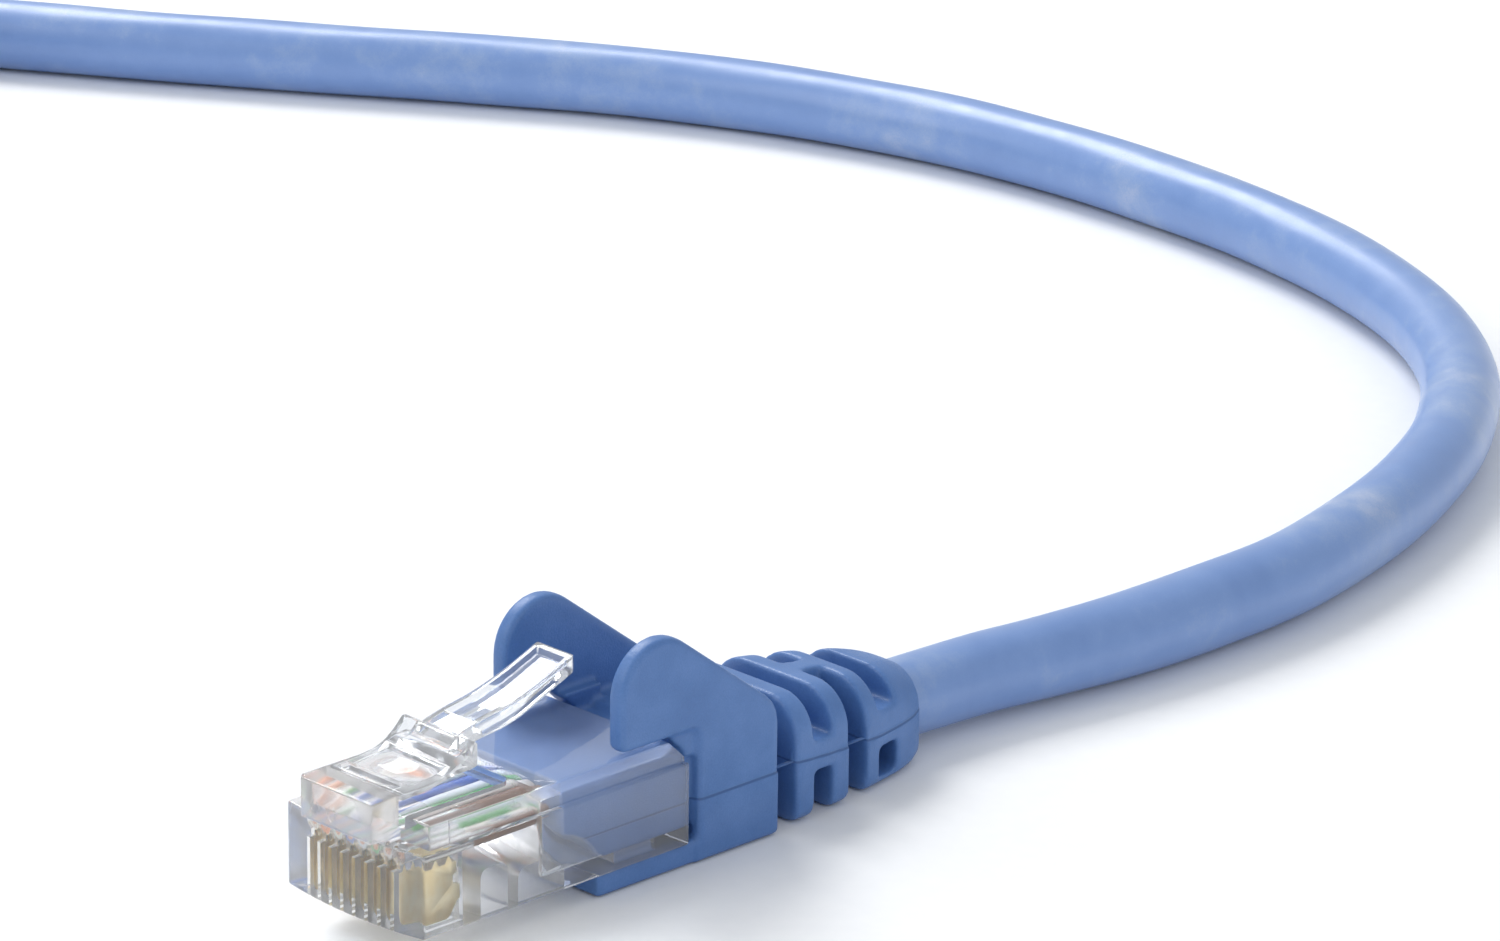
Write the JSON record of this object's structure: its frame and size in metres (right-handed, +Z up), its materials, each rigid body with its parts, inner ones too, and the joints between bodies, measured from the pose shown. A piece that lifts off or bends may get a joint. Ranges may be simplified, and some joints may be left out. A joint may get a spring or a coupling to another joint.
{
  "type": "ethernet patch cable",
  "caption": "Round blue network cable, tied in a coil, with a clear latched modular plug and a moulded boot with ears and a slotted strain relief on each end.",
  "frame": {"origin": "middle of the near plug and its boot, seen from above, at the height of the surface it rests on", "axes": "+Y from the near plug's mating face towards its boot and cable, +Z up on the latch side, +X to the right seen from the mating face's back"},
  "size_m": [0.2246, 0.1376, 0.0147],
  "materials": {
    "clear_plastic": "clear glossy polycarbonate",
    "boot_blue": "soft moulded PVC, finely textured",
    "gold_contact": "gold flash over nickel",
    "wire_white_orange": "smooth insulation",
    "wire_orange": "smooth insulation",
    "wire_white_green": "smooth insulation",
    "wire_blue": "smooth insulation",
    "wire_white_blue": "smooth insulation",
    "wire_green": "smooth insulation",
    "wire_white_brown": "smooth insulation",
    "wire_brown": "smooth insulation",
    "cable_jacket": "cloudy glossy PVC jacket",
    "tie_strap": "woven hook and loop strap"
  },
  "bodies": {
    "cable_and_plugs": {"near_housing": "clear_plastic", "near_boot": "boot_blue", "near_contact_1": "gold_contact", "near_wire_1": "wire_white_orange", "near_contact_2": "gold_contact", "near_wire_2": "wire_orange", "near_contact_3": "gold_contact", "near_wire_3": "wire_white_green", "near_contact_4": "gold_contact", "near_wire_4": "wire_blue", "near_contact_5": "gold_contact", "near_wire_5": "wire_white_blue", "near_contact_6": "gold_contact", "near_wire_6": "wire_green", "near_contact_7": "gold_contact", "near_wire_7": "wire_white_brown", "near_contact_8": "gold_contact", "near_wire_8": "wire_brown", "far_housing": "clear_plastic", "far_boot": "boot_blue", "far_contact_1": "gold_contact", "far_wire_1": "wire_white_orange", "far_contact_2": "gold_contact", "far_wire_2": "wire_orange", "far_contact_3": "gold_contact", "far_wire_3": "wire_white_green", "far_contact_4": "gold_contact", "far_wire_4": "wire_blue", "far_contact_5": "gold_contact", "far_wire_5": "wire_white_blue", "far_contact_6": "gold_contact", "far_wire_6": "wire_green", "far_contact_7": "gold_contact", "far_wire_7": "wire_white_brown", "far_contact_8": "gold_contact", "far_wire_8": "wire_brown", "cable_lead": "cable_jacket", "cable_coil": "cable_jacket", "cable_tail": "cable_jacket", "cable_tie": "tie_strap"},
    "near_latch": {"near_latch": "clear_plastic"},
    "far_latch": {"far_latch": "clear_plastic"}
  },
  "joints": [
    {"name": "near_latch_hinge", "type": "hinge", "parent": "cable_and_plugs", "child": "near_latch", "pos_m": [0, -0.01984, 0.00917], "axis": [-1, 0, 0], "range_deg": [0, 13], "stiffness_Nm_per_rad": 0.15},
    {"name": "far_latch_hinge", "type": "hinge", "parent": "cable_and_plugs", "child": "far_latch", "pos_m": [-0.213, -0.01844, 0.00917], "axis": [-1, 0, 0], "range_deg": [0, 13], "stiffness_Nm_per_rad": 0.15}
  ]
}
